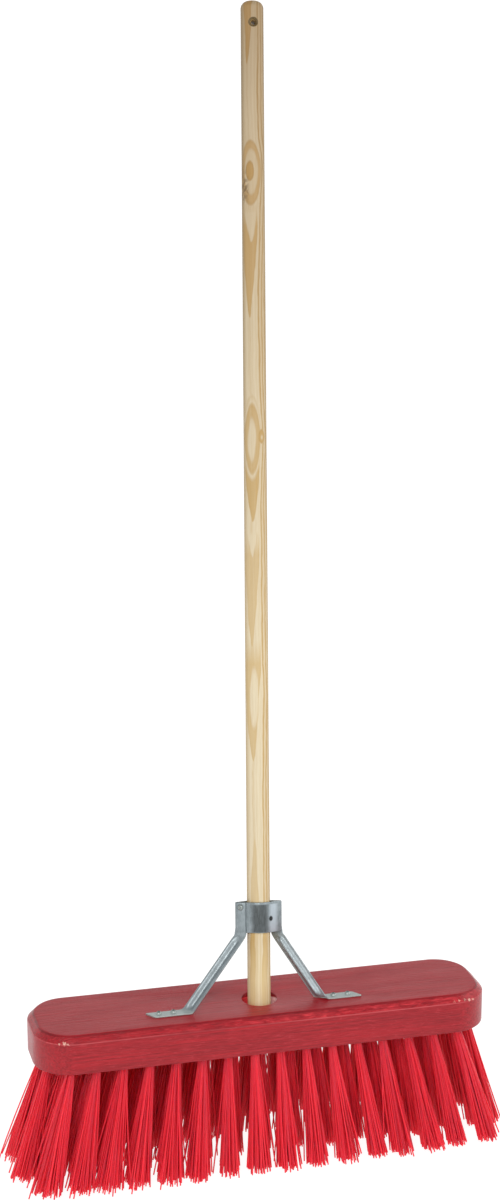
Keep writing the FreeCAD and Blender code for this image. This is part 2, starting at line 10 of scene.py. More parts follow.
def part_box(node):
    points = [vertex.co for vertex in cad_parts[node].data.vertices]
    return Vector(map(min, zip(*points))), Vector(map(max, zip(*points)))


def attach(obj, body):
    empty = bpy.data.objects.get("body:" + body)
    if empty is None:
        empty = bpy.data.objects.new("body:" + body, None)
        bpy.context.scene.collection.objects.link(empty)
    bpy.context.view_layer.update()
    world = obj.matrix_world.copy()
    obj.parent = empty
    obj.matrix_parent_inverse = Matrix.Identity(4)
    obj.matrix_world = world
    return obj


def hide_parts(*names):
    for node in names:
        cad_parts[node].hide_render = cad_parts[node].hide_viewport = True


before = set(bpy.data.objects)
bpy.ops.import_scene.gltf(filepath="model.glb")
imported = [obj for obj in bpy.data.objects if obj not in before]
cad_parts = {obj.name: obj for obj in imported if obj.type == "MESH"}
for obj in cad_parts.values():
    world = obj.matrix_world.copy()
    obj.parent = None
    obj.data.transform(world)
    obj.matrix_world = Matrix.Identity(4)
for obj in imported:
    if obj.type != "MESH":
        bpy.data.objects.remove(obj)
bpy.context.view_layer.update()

MM = 0.001

# ---------------------------------------------------------------- sizes, in millimetres
block_low, block_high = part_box("block")
BLOCK_LENGTH = (block_high.x - block_low.x) / MM
BLOCK_WIDTH = (block_high.y - block_low.y) / MM
UNDERSIDE = block_low.z / MM
TOP = block_high.z / MM
BLOCK_CORNER = 42
BLOCK_BEVEL = 7.5
SOCKET_RADIUS = 19
SOCKET_DEPTH = 22
HANDLE_RADIUS = 12.5
HANDLE_TOP = 1083
HANDLE_ROUND = 8
HANG_RADIUS = 2.7
HANG_MOUTH_RADIUS = 5.2
HANG_BELOW_TOP = 25
HANG_TURN = 6
SHEET = 1.5
COLLAR_PLAY = 0.1
COLLAR_LOW = 71.5
COLLAR_HIGH = 104.5
SHEET_SLOPE = math.radians(32.4)
LAYER_PLAY = 0.1
FOLD_RADIUS = 0.4
FLAP_LENGTH = 10.3
LUG_LENGTH = 19
LEG_START = 4.3
RIVET_FROM_FOLD = 4.6
RIVET_UP = 99
NAIL_FROM_SHELL = 4.56
NAIL_UP = 86.5
FOOT_BEND = 73.8
FOOT_LENGTH = 41
FOOT_WIDTH = 12.5
FOOT_SLANT = 9
FOOT_ROUND = 2.5
FOOT_FORWARD = 22.5
FOOT_SHIFT = 9.4
LEG_TURN = 41
LEG_HALF_WIDTH = 6.6
LEG_ROOT_HALF = 5.9

# The handle's frame: origin in the socket's mouth, Z up the handle, which leans back and to the right.
MOUTH = Vector((0.1, -5.2, TOP))
AXIS = Vector((math.tan(math.radians(3.59)), math.tan(math.radians(15.5)), 1)).normalized()
LEAN = Vector((0, 0, 1)).rotation_difference(AXIS).to_matrix().to_4x4()
HANDLE_FRAME = Matrix.Translation(MOUTH) @ LEAN


# ---------------------------------------------------------------- mesh helpers
class Shell:
    """Points, in millimetres, and faces that become one closed mesh."""

    def __init__(self):
        self.points = []
        self.faces = []

    def add(self, points):
        """Adds a row of points and returns their numbers."""
        start = len(self.points)
        self.points.extend(Vector(point) for point in points)
        return list(range(start, len(self.points)))

    def strip(self, low, high, closed=True):
        """Quads between two rows of the same length."""
        count = len(low)
        for i in range(count if closed else count - 1):
            j = (i + 1) % count
            self.faces.append((low[i], low[j], high[j], high[i]))

    def tube(self, rings, ends=True):
        """Quads along a list of rings, with a face on both ends."""
        for low, high in zip(rings, rings[1:]):
            self.strip(low, high)
        if ends:
            self.faces.append(tuple(reversed(rings[0])))
            self.faces.append(tuple(rings[-1]))

    def plate(self, outer, holes):
        """A flat level face between a ring and the rims of its holes."""
        rings = [outer] + holes
        index = [i for ring in rings for i in ring]
        owner = [k for k, ring in enumerate(rings) for _ in ring]
        edges = []
        start = 0
        for ring in rings:
            count = len(ring)
            edges.extend((start + i, start + (i + 1) % count) for i in range(count))
            start += count
        flat = [self.points[i].to_2d() for i in index]
        _, _, triangles, origin, _, _ = delaunay_2d_cdt(flat, edges, [], 0, 1e-6)
        for triangle in triangles:
            corners = [origin[i][0] for i in triangle]
            owners = {owner[i] for i in corners}
            if len(owners) > 1 or owners == {0}:
                self.faces.append(tuple(index[i] for i in corners))

    def mesh(self, name, place=None, angle=35):
        """The finished mesh in metres, its faces turned outwards."""
        place = place or Matrix.Identity(4)
        mesh = bpy.data.meshes.new(name)
        mesh.from_pydata([place @ point * MM for point in self.points], [], self.faces)
        work = bmesh.new()
        work.from_mesh(mesh)
        bmesh.ops.recalc_face_normals(work, faces=work.faces[:])
        work.to_mesh(mesh)
        work.free()
        for face in mesh.polygons:
            face.use_smooth = True
        mesh.set_sharp_from_angle(angle=math.radians(angle))
        return mesh


def new_object(name, mesh, material, slot, *nodes):
    """Puts a finished mesh in the scene, on the one body, standing for its CAD nodes."""
    obj = bpy.data.objects.new(name, mesh)
    bpy.context.scene.collection.objects.link(obj)
    mesh.materials.clear()
    mesh.materials.append(material)
    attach(obj, "root")
    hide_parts(*nodes)
    return obj


def soften(path, radius, steps=4):
    """A path with its inner corners rounded off."""
    path = [Vector(point) for point in path]
    out = [path[0]]
    for before, corner, after in zip(path, path[1:], path[2:]):
        start = corner + (before - corner).normalized() * radius
        end = corner + (after - corner).normalized() * radius
        for i in range(steps + 1):
            k = i / steps
            out.append(start * (1 - k) ** 2 + corner * 2 * k * (1 - k) + end * k ** 2)
    out.append(path[-1])
    return out


def circle(radius, count, height=0.0):
    """Points on a level circle round the origin."""
    turns = [2 * math.pi * i / count for i in range(count)]
    return [Vector((radius * math.cos(a), radius * math.sin(a), height)) for a in turns]


def lathe(profile, count):
    """A closed turned shape from (radius, height) pairs that start and end off the axis."""
    shell = Shell()
    shell.tube([shell.add(circle(radius, count, height)) for radius, height in profile])
    return shell


def ease(value):
    """Smooth step from 0 to 1."""
    value = min(1.0, max(0.0, value))
    return value * value * (3 - 2 * value)


class Nodes:
    """A short way to write a node material."""

    def __init__(self, name):
        self.material = bpy.data.materials.new(name)
        self.material.use_nodes = True
        self.tree = self.material.node_tree
        self.tree.nodes.clear()
        self.out = self.tree.nodes.new("ShaderNodeOutputMaterial")
        self.shader = self.tree.nodes.new("ShaderNodeBsdfPrincipled")
        self.tree.links.new(self.shader.outputs[0], self.out.inputs["Surface"])

    def put(self, socket, value):
        """Links a socket to another one, or gives it a plain value."""
        if isinstance(value, bpy.types.NodeSocket):
            self.tree.links.new(value, socket)
        else:
            socket.default_value = value

    def node(self, kind, **inputs):
        """A node with some of its inputs set; a space in an input's name is written as _."""
        node = self.tree.nodes.new(kind)
        for key, value in inputs.items():
            self.put(node.inputs[key.replace("_", " ")], value)
        return node

    def coords(self, scale=(1, 1, 1)):
        """Object coordinates, in metres in the row frame, scaled."""
        place = self.node("ShaderNodeTexCoord").outputs["Object"]
        return self.node("ShaderNodeMapping", Vector=place, Scale=scale).outputs[0]

    def handle_coords(self, turn=0.0, scale=(1, 1, 1)):
        """Coordinates in millimetres in the handle's frame, turned about the handle, then scaled."""
        place = self.node("ShaderNodeTexCoord").outputs["Object"]
        rotation = (LEAN @ Matrix.Rotation(math.radians(turn), 4, "Z")).to_euler()
        placed = self.node("ShaderNodeMapping", Vector=place)
        placed.vector_type = "TEXTURE"
        placed.inputs["Location"].default_value = MOUTH * MM
        placed.inputs["Rotation"].default_value = rotation
        placed.inputs["Scale"].default_value = (MM, MM, MM)
        return self.node("ShaderNodeMapping", Vector=placed.outputs[0], Scale=scale).outputs[0]

    def split(self, vector):
        """The three parts of a vector."""
        return self.node("ShaderNodeSeparateXYZ", Vector=vector).outputs[:3]

    def noise(self, vector, detail=3.0, roughness=0.5, distortion=0.0):
        """Smooth noise; its scale is that of the coordinates it is given."""
        node = self.node("ShaderNodeTexNoise", Vector=vector, Scale=1.0, Detail=detail,
                         Roughness=roughness, Distortion=distortion)
        return node.outputs["Fac"]

    def math(self, operation, a, b=0.0):
        """One sum on one or two numbers."""
        node = self.tree.nodes.new("ShaderNodeMath")
        node.operation = operation
        self.put(node.inputs[0], a)
        self.put(node.inputs[1], b)
        return node.outputs[0]

    def plus(self, a, b):
        return self.math("ADD", a, b)

    def minus(self, a, b):
        return self.math("SUBTRACT", a, b)

    def times(self, a, b):
        return self.math("MULTIPLY", a, b)

    def over(self, a, b):
        return self.math("DIVIDE", a, b)

    def distance(self, a, b):
        """How far apart two numbers are."""
        return self.math("ABSOLUTE", self.minus(a, b))

    def length(self, first, *others):
        """Length of a vector given by its parts."""
        total = self.times(first, first)
        for part in others:
            total = self.plus(total, self.times(part, part))
        return self.math("SQRT", total)

    def span(self, value, low, high, to_low=0.0, to_high=1.0):
        """Value taken from one range to another and kept inside it."""
        node = self.node("ShaderNodeMapRange", Value=value, From_Min=low, From_Max=high,
                         To_Min=to_low, To_Max=to_high)
        return node.outputs[0]

    def mix(self, factor, a, b):
        """Colour a where the factor is 0 and colour b where it is 1."""
        node = self.tree.nodes.new("ShaderNodeMix")
        node.data_type = "RGBA"
        self.put(node.inputs[0], factor)
        self.put(node.inputs[6], a)
        self.put(node.inputs[7], b)
        return node.outputs[2]

    def ramp(self, value, stops):
        """Colour looked up along a list of (place, colour) stops."""
        node = self.tree.nodes.new("ShaderNodeValToRGB")
        self.put(node.inputs[0], value)
        elements = node.color_ramp.elements
        while len(elements) > 1:
            elements.remove(elements[-1])
        elements[0].position, elements[0].color = stops[0]
        for position, shade in stops[1:]:
            elements.new(position).color = shade
        return node.outputs[0]

    def bump(self, height, strength, distance, normal=None):
        """A normal roughened by a height, on top of another normal if there is one."""
        node = self.node("ShaderNodeBump", Strength=strength, Distance=distance, Height=height)
        if normal is not None:
            self.put(node.inputs["Normal"], normal)
        return node.outputs[0]

    def finish(self, **inputs):
        """Sets the shader's inputs and returns the material."""
        for key, value in inputs.items():
            self.put(self.shader.inputs[key.replace("_", " ")], value)
        return self.material


# ---------------------------------------------------------------- tufts: where they stand
OUTER_ROW = 42
INNER_ROW = 14
TUFT_HALF_SPAN = 213.75
END_TUFT = 232
FAN_ALONG = 1.145
FAN_ALONG_END = 1.13
FAN_ACROSS = 1.571
TUFT_HOLE_RADIUS = 4.5
TUFT_HOLE_DEPTH = 13
TUFT_FREE = 133.1


def row_of(across, count, end_tufts):
    """Root and fan factor of every tuft of one row."""
    step = 2 * TUFT_HALF_SPAN / (count - 1)
    row = [(-TUFT_HALF_SPAN + step * i, across, FAN_ALONG) for i in range(count)]
    if end_tufts:
        row.insert(0, (-END_TUFT, across, FAN_ALONG_END))
        row.append((END_TUFT, across, FAN_ALONG_END))
    return row


ROWS = {
    "front": row_of(-OUTER_ROW, 16, False),
    "front_middle": row_of(-INNER_ROW, 15, True),
    "rear_middle": row_of(INNER_ROW, 15, True),
    "rear": row_of(OUTER_ROW, 15, False),
}


def tuft_axis(x, y, fan):
    """Root on the underside and direction down to the tip of one tuft."""
    root = Vector((x, y, UNDERSIDE))
    tip = Vector((x * fan, y * FAN_ACROSS, 0))
    return root, (tip - root).normalized()


# ---------------------------------------------------------------- block
CORNER_STEPS = 20


def outline(inset, height):
    """The block's outline, moved in by a distance, at one height."""
    radius = BLOCK_CORNER - inset
    points = []
    for sx, sy, start in ((1, -1, -90), (1, 1, 0), (-1, 1, 90), (-1, -1, 180)):
        middle = Vector((sx * (BLOCK_LENGTH / 2 - BLOCK_CORNER),
                         sy * (BLOCK_WIDTH / 2 - BLOCK_CORNER), height))
        for i in range(CORNER_STEPS + 1):
            angle = math.radians(start + 90 * i / CORNER_STEPS)
            points.append(middle + Vector((radius * math.cos(angle), radius * math.sin(angle), 0)))
    return points


def socket_ring(radius, height, count=64):
    """Ring on the socket's tilted wall where it is cut by a level plane."""
    ring = []
    for point in circle(radius, count):
        spoke = LEAN @ point
        ring.append(MOUTH + spoke + AXIS * ((height - MOUTH.z - spoke.z) / AXIS.z))
    return ring


def make_block():
    """Block with its bevelled top, the tilted socket and all tuft holes, as one closed shell."""
    shell = Shell()
    bottom = [(3, UNDERSIDE), (0, UNDERSIDE), (0, TOP - BLOCK_BEVEL - 2)]
    bevel = [(0, TOP - BLOCK_BEVEL - 2), (0, TOP - BLOCK_BEVEL), (BLOCK_BEVEL, TOP), (BLOCK_BEVEL + 4, TOP)]
    profile = soften(bottom, 1.2)[:-1] + soften(bevel, 0.9)
    rings = [shell.add(outline(inset, height)) for inset, height in profile]
    shell.tube(rings, ends=False)
    # Socket: softened rim, tilted wall, flat bottom.
    rim = [(1.0, 0), (0.45, -0.12), (0.12, -0.45), (0, -1.0)]
    rims = [shell.add(socket_ring(SOCKET_RADIUS + out, TOP + down)) for out, down in rim]
    for depth, inset in ((SOCKET_DEPTH - 0.8, 0), (SOCKET_DEPTH, 0.8)):
        rims.append(shell.add(HANDLE_FRAME @ point for point in circle(SOCKET_RADIUS - inset, 64, -depth)))
    shell.tube(rims, ends=False)
    shell.faces.append(tuple(rims[-1]))
    shell.plate(rings[-1], [rims[0]])
    # Tuft holes.
    mouths = []
    for row in ROWS.values():
        for tuft in row:
            root, down = tuft_axis(*tuft)
            mouth = shell.add(root + point for point in circle(TUFT_HOLE_RADIUS, 14))
            hole_end = root - down * TUFT_HOLE_DEPTH
            floor = shell.add(hole_end + point for point in circle(TUFT_HOLE_RADIUS, 14))
            shell.strip(mouth, floor)
            shell.faces.append(tuple(floor))
            mouths.append(mouth)
    shell.plate(rings[0], mouths)
    return shell.mesh("block_painted", angle=40)


# ---------------------------------------------------------------- handle
def make_handle():
    """Turned stick in the handle's frame, with the hanging hole cut through its top."""
    side = [(HANDLE_RADIUS, height) for height in range(-18, int(HANDLE_TOP) - 10, 16)]
    foot = [(HANDLE_RADIUS - 0.8, -SOCKET_DEPTH), (HANDLE_RADIUS, -SOCKET_DEPTH + 0.8)]
    dome = []
    for i in range(11):
        angle = math.radians(90 * i / 10)
        dome.append((HANDLE_RADIUS - HANDLE_ROUND + HANDLE_ROUND * math.cos(angle),
                     HANDLE_TOP - HANDLE_ROUND + HANDLE_ROUND * math.sin(angle)))
    stick = lathe(foot + side + dome + [(1.5, HANDLE_TOP + 0.05)], 96).mesh("stick")
    # The mouths are countersunk at 45 degrees and worn round where they meet the bore.
    reach = HANDLE_RADIUS + 2
    wide = HANG_MOUTH_RADIUS + 2
    narrow = HANDLE_RADIUS - HANG_MOUTH_RADIUS + HANG_RADIUS
    bore = [(wide, -reach), (HANG_RADIUS + 0.3, -narrow - 0.3), (HANG_RADIUS, 0.5 - narrow),
            (HANG_RADIUS, narrow - 0.5), (HANG_RADIUS + 0.3, narrow + 0.3), (wide, reach)]
    turn = Matrix.Rotation(math.radians(-HANG_TURN), 4, "Z") @ Matrix.Rotation(math.radians(90), 4, "X")
    drill = lathe(bore, 48).mesh("drill", Matrix.Translation((0, 0, HANDLE_TOP - HANG_BELOW_TOP)) @ turn)
    base = bpy.data.objects.new("stick", stick)
    tool = bpy.data.objects.new("drill", drill)
    for obj in (base, tool):
        bpy.context.scene.collection.objects.link(obj)
    cut = base.modifiers.new("hole", "BOOLEAN")
    cut.object = tool
    cut.solver = "EXACT"
    bpy.context.view_layer.update()
    result = bpy.data.meshes.new_from_object(base.evaluated_get(bpy.context.evaluated_depsgraph_get()))
    for obj in (base, tool):
        bpy.data.objects.remove(obj)
    place = HANDLE_FRAME.copy()
    place.translation = MOUTH * MM
    result.transform(place)
    for face in result.polygons:
        face.use_smooth = True
    result.set_sharp_from_angle(angle=math.radians(40))
    result.name = "handle_pine"
    return result


# ---------------------------------------------------------------- bracket
def arc(middle, radius, start, end, steps):
    """Points on an arc in the plane, from one angle to another, in degrees."""
    points = []
    for i in range(steps + 1):
        angle = math.radians(start + (end - start) * i / steps)
        points.append(middle + Vector((radius * math.cos(angle), radius * math.sin(angle))))
    return points


SHEET_NORMAL = Vector((math.sin(SHEET_SLOPE), -math.cos(SHEET_SLOPE)))
FLAP_NORMAL = Vector((math.sin(SHEET_SLOPE), math.cos(SHEET_SLOPE)))
LUG_NORMAL = Vector((-math.sin(SHEET_SLOPE), -math.cos(SHEET_SLOPE)))
SHEET_WAY = Vector((math.cos(SHEET_SLOPE), math.sin(SHEET_SLOPE)))
FLAP_WAY = Vector((-math.cos(SHEET_SLOPE), math.sin(SHEET_SLOPE)))
SHELL_MIDDLE = HANDLE_RADIUS + COLLAR_PLAY + SHEET / 2
FOLD_MIDDLE = FOLD_RADIUS + SHEET / 2
# The fold's centre lies inside the sheet and inside the flap by the fold's own radius.
to_sheet = SHELL_MIDDLE - FOLD_MIDDLE
to_flap = SHELL_MIDDLE + SHEET + LAYER_PLAY - FOLD_MIDDLE
FOLD_CENTRE = Vector(((to_flap + to_sheet) / 2 / math.sin(SHEET_SLOPE),
                      (to_flap - to_sheet) / 2 / math.cos(SHEET_SLOPE)))
NAIL_SEAT = SHEET_NORMAL * (SHELL_MIDDLE + SHEET / 2) + SHEET_WAY * NAIL_FROM_SHELL
RIVET_SEAT = FOLD_CENTRE + FLAP_NORMAL * (FOLD_MIDDLE + SHEET / 2) + FLAP_WAY * RIVET_FROM_FOLD


def half_turn(side):
    """Frame of one collar half: the handle's, for the rear half turned half way round the handle."""
    return HANDLE_FRAME @ Matrix.Rotation(0 if side > 0 else math.pi, 4, "Z")


def collar_path():
    """Middle line of the front half: flap, fold, sheet, round part, lug; all of them tangent."""
    slope = math.degrees(SHEET_SLOPE)
    on_flap = FOLD_CENTRE + FLAP_NORMAL * FOLD_MIDDLE
    on_sheet = FOLD_CENTRE + SHEET_NORMAL * FOLD_MIDDLE
    leaves = SHEET_NORMAL * SHELL_MIDDLE
    lug = LUG_NORMAL * SHELL_MIDDLE
    path = [on_flap + FLAP_WAY * FLAP_LENGTH, on_flap + FLAP_WAY * (FLAP_LENGTH - 0.4)]
    path += arc(FOLD_CENTRE, FOLD_MIDDLE, 90 - slope, slope - 90, 8)
    path += [on_sheet.lerp(leaves, 0.35), on_sheet.lerp(leaves, 0.7)]
    path += arc(Vector((0, 0)), SHELL_MIDDLE, slope - 90, -90 - slope, 24)
    path += [lug + FLAP_WAY * along for along in (LUG_LENGTH * 0.5, LUG_LENGTH - 0.4, LUG_LENGTH)]
    return path


def collar_loop(path, inset, height):
    """Closed outline of the collar sheet at one height, thinned by an inset."""
    outer = []
    inner = []
    last = len(path) - 1
    for i, point in enumerate(path):
        ahead = (path[min(i + 1, last)] - path[max(i - 1, 0)]).normalized()
        half = SHEET / 2 - inset
        if i in (0, last):
            half = max(0.1, half - 0.35)
            point = point - ahead * (inset if i else -inset)
        normal = Vector((-ahead.y, ahead.x)) * half
        outer.append((point + normal).to_3d() + Vector((0, 0, height)))
        inner.append((point - normal).to_3d() + Vector((0, 0, height)))
    return outer, inner


def foot_point(side, out, across=0.0, up=0.0):
    """A point on a foot: out from its bend, across to the rear, up from the block."""
    return Vector((-FOOT_SHIFT + side * (FOOT_BEND + out), across - FOOT_FORWARD, TOP + up))


def make_bracket(side):
    """Collar half, leg and foot of one side, made of one bent sheet."""
    shell = Shell()
    turn = half_turn(side)
    path = collar_path()
    rims = [(COLLAR_LOW, 0.45), (COLLAR_LOW + 0.15, 0.15), (COLLAR_LOW + 0.5, 0), (COLLAR_HIGH - 1.3, 0),
            (COLLAR_HIGH - 0.8, 0.08), (COLLAR_HIGH - 0.3, 0.3), (COLLAR_HIGH, 0.62)]
    outers = []
    inners = []
    for height, inset in rims:
        outer, inner = collar_loop(path, inset, height)
        outers.append(shell.add(turn @ point for point in outer))
        inners.append(shell.add(turn @ point for point in inner))
    loops = [outer + inner[::-1] for outer, inner in zip(outers, inners)]
    shell.tube(loops, ends=False)
    shell.strip(outers[0], inners[0], closed=False)
    shell.strip(outers[-1], inners[-1], closed=False)

    # Leg and foot: a strip whose middle line is bent twice.
    leg_root = FOLD_CENTRE + FLAP_NORMAL * FOLD_MIDDLE + FLAP_WAY * LEG_START
    start = turn @ Vector((leg_root.x, leg_root.y, COLLAR_LOW + 5))
    knee = turn @ Vector((leg_root.x, leg_root.y, COLLAR_LOW - 2.5))
    ankle = foot_point(side, 0, up=SHEET / 2)
    toe = foot_point(side, FOOT_LENGTH, up=SHEET / 2)
    upper = soften([start, knee, knee.lerp(ankle, 0.5)], 3, 6)
    lower = soften([knee.lerp(ankle, 0.5), ankle, toe], 3, 6)
    line = upper[:-1]
    line += [upper[-2].lerp(lower[1], i / 30) for i in range(1, 30)]
    line += lower[1:-1]
    rounding = [0.0, 0.06, 0.14, 0.26, 0.42, 0.64, 1.0]
    stretch = (toe - lower[-2]).length
    line += [lower[-2].lerp(toe, i / 6 * (1 - FOOT_ROUND / stretch)) for i in range(1, 6)]
    line += [toe - Vector((side * FOOT_ROUND * r, 0, 0)) for r in reversed(rounding)]
    travelled = [0.0]
    for a, b in zip(line, line[1:]):
        travelled.append(travelled[-1] + (b - a).length)
    knee_at = min(range(len(line)), key=lambda i: (line[i] - knee).length)
    ankle_at = min(range(len(line)), key=lambda i: (line[i] - ankle).length)
    flat_across = (turn.to_3x3() @ -FLAP_WAY.to_3d()).normalized()
    leg_way = (ankle - knee).normalized()
    level = Vector((math.cos(math.radians(LEG_TURN)), -math.sin(math.radians(LEG_TURN)), 0)) * side
    leg_across = (level - leg_way * level.dot(leg_way)).normalized()
    slant = math.atan2(FOOT_SLANT, FOOT_WIDTH)
    foot_across = Vector((math.sin(slant), -math.cos(slant), 0)) * side
    foot_half = FOOT_WIDTH / 2 / math.cos(slant)
    inward = (turn.to_3x3() @ -FLAP_NORMAL.to_3d()).normalized()
    groove_half = 4.7
    groove_depth = 3.0
    groove_start = travelled[knee_at] + 4.0
    groove_end = travelled[ankle_at] - 2.0
    columns = [i / 10 for i in range(-10, 11)]
    loops = []
    for i, point in enumerate(line):
        ahead = (line[min(i + 1, len(line) - 1)] - line[max(i - 1, 0)]).normalized()
        at = travelled[i]
        turning = ease((at - travelled[knee_at] + 3) / 16)
        footing = ease((at - travelled[ankle_at] + 4) / 8)
        across = flat_across.lerp(leg_across, turning).lerp(foot_across, footing).normalized()
        normal = ahead.cross(across).normalized()
        if normal.dot(inward.lerp(Vector((0, 0, 1)) * (1 if side > 0 else -1), footing)) < 0:
            normal = -normal
        half = LEG_ROOT_HALF + (LEG_HALF_WIDTH - LEG_ROOT_HALF) * ease((at - 3) / 2)
        half = half + (foot_half - half) * footing
        to_toe = travelled[-1] - at
        if to_toe < FOOT_ROUND:
            half -= FOOT_ROUND - math.sqrt(FOOT_ROUND ** 2 - (FOOT_ROUND - to_toe) ** 2)
        inside = min(at - groove_start, groove_end - at)
        wide = 0.0
        if inside > 0:
            round_end = min(inside, groove_half)
            wide = math.sqrt(groove_half ** 2 - (groove_half - round_end) ** 2)
        deep = groove_depth * ease(inside / 4)
        thick = SHEET / 2 - 0.02

        def at_column(u, lift):
            """A point across the strip, lowered into the groove and lifted off the middle line."""
            dip = 0.0
            if wide > 0.01 and abs(u) < wide:
                dip = deep * (0.5 + 0.5 * math.cos(math.pi * u / wide)) ** 0.8
            return point + across * u + normal * (dip + lift)

        edge = half - 0.3
        loop = [at_column(u * edge, thick) for u in columns]
        loop += [at_column(half, 0.4), at_column(half, -0.4)]
        loop += [at_column(u * edge, -thick) for u in reversed(columns)]
        loop += [at_column(-half, -0.4), at_column(-half, 0.4)]
        loops.append(shell.add(loop))
    shell.tube(loops)
    return shell.mesh("bracket_" + ("front" if side > 0 else "rear"), angle=45)


# ---------------------------------------------------------------- rivets and nails
def make_rivet(side):
    """Rivet through a flap and the lug under it; on the flap a domed head with a punched dimple."""
    grip = 2 * SHEET + LAYER_PLAY
    ball = [(3.05, 0), (3.0, 0.5), (2.75, 1.0), (2.35, 1.35), (1.8, 1.6), (1.35, 1.65), (1.1, 1.5),
            (0.9, 1.15), (0.5, 1.0), (0.1, 0.98)]
    tail = [(0.1, -1.1), (1.6, -1.15), (2.3, -1.0), (2.8, -0.6), (2.95, -0.2), (2.8, 0)]
    profile = [(radius, height - grip) for radius, height in tail]
    profile += [(2.2, -grip), (2.2, 0)] + ball
    out = Vector((0, 0, 1)).rotation_difference(FLAP_NORMAL.to_3d()).to_matrix().to_4x4()
    place = half_turn(side) @ Matrix.Translation((RIVET_SEAT.x, RIVET_SEAT.y, RIVET_UP)) @ out
    return lathe(profile, 28).mesh("rivet", place)


def make_nail(side):
    """Nail through a sheet into the handle, its head a low dome inside a pressed ring."""
    head = [(2.1, 0.05), (2.1, 0.4), (1.95, 0.58), (1.7, 0.6), (1.5, 0.3), (1.3, 0.22), (1.1, 0.42),
            (0.6, 0.55), (0.1, 0.58)]
    profile = [(0.1, -11), (0.6, -9.6), (1.3, -8), (1.3, 0.05)] + head
    out = Vector((0, 0, 1)).rotation_difference(SHEET_NORMAL.to_3d()).to_matrix().to_4x4()
    place = half_turn(side) @ Matrix.Translation((NAIL_SEAT.x, NAIL_SEAT.y, NAIL_UP)) @ out
    return lathe(profile, 28).mesh("nail", place)


# ---------------------------------------------------------------- bristles
FILAMENTS = 100
FILAMENT_RADIUS = 0.74
FILAMENT_SIDES = 6
FILAMENT_STATIONS = (0.0, 0.16, 0.36, 0.58, 0.8, 1.0)
ROOT_SPREAD = 3.7
TIP_SPREAD = 10.7
GOLDEN_ANGLE = math.radians(137.508)
# The left half of the broom is worn wider, fully so from this far out.
WORN_SPREAD = 1.32
WORN_REACH = 120
# Share of filaments that stand out of their tuft, and how many times further out they end.
STRAY_SHARE = 0.11
STRAY_REACH = (1.2, 1.7)
# How much the filaments of a tuft differ: place and height of their ends, bow and wave of their lines.
END_SCATTER = 1.5
UNEVEN_ENDS = 4.0
SHORTEST_BY = 13.0
BOW = 0.8
WAVE = 0.15
# How much whole tufts differ: place of the tip along and across the block, and spread.
TIP_SCATTER_ALONG = 1.5
TIP_SCATTER_ACROSS = 1.2
TUFT_SPREADS = (0.92, 1.12)
# How far a filament goes on up into its hole.
HIDDEN_LENGTH = 9


def filament_line(rng, root, tip, number, spread):
    """Middle line of one filament, from inside its hole to its cut end."""
    rank = math.sqrt((number + 0.5) / FILAMENTS)
    angle = number * GOLDEN_ANGLE + rng.uniform(-0.3, 0.3)
    outwards = Vector((math.cos(angle), math.sin(angle), 0))
    foot = root + outwards * ROOT_SPREAD * rank
    stray = 1.0
    if rng.random() < STRAY_SHARE:
        stray = rng.uniform(*STRAY_REACH)
    end = tip + outwards * TIP_SPREAD * spread * rank * stray
    end += Vector((rng.gauss(0, END_SCATTER), rng.gauss(0, END_SCATTER), 0))
    end.z = tip.z + min(SHORTEST_BY, abs(rng.gauss(0, UNEVEN_ENDS)))
    bow = Vector((rng.gauss(0, BOW), rng.gauss(0, BOW), 0))
    wave = Vector((rng.gauss(0, WAVE), rng.gauss(0, WAVE), 0))
    line = []
    for k in FILAMENT_STATIONS:
        point = foot.lerp(end, k)
        point += outwards * (k ** 1.25 - k) * (TIP_SPREAD * spread - ROOT_SPREAD) * rank
        point += bow * 4 * k * (1 - k) + wave * math.sin(2 * math.pi * k)
        line.append(point)
    into_hole = (root - tip).normalized() * HIDDEN_LENGTH
    line.insert(0, foot + into_hole)
    return line


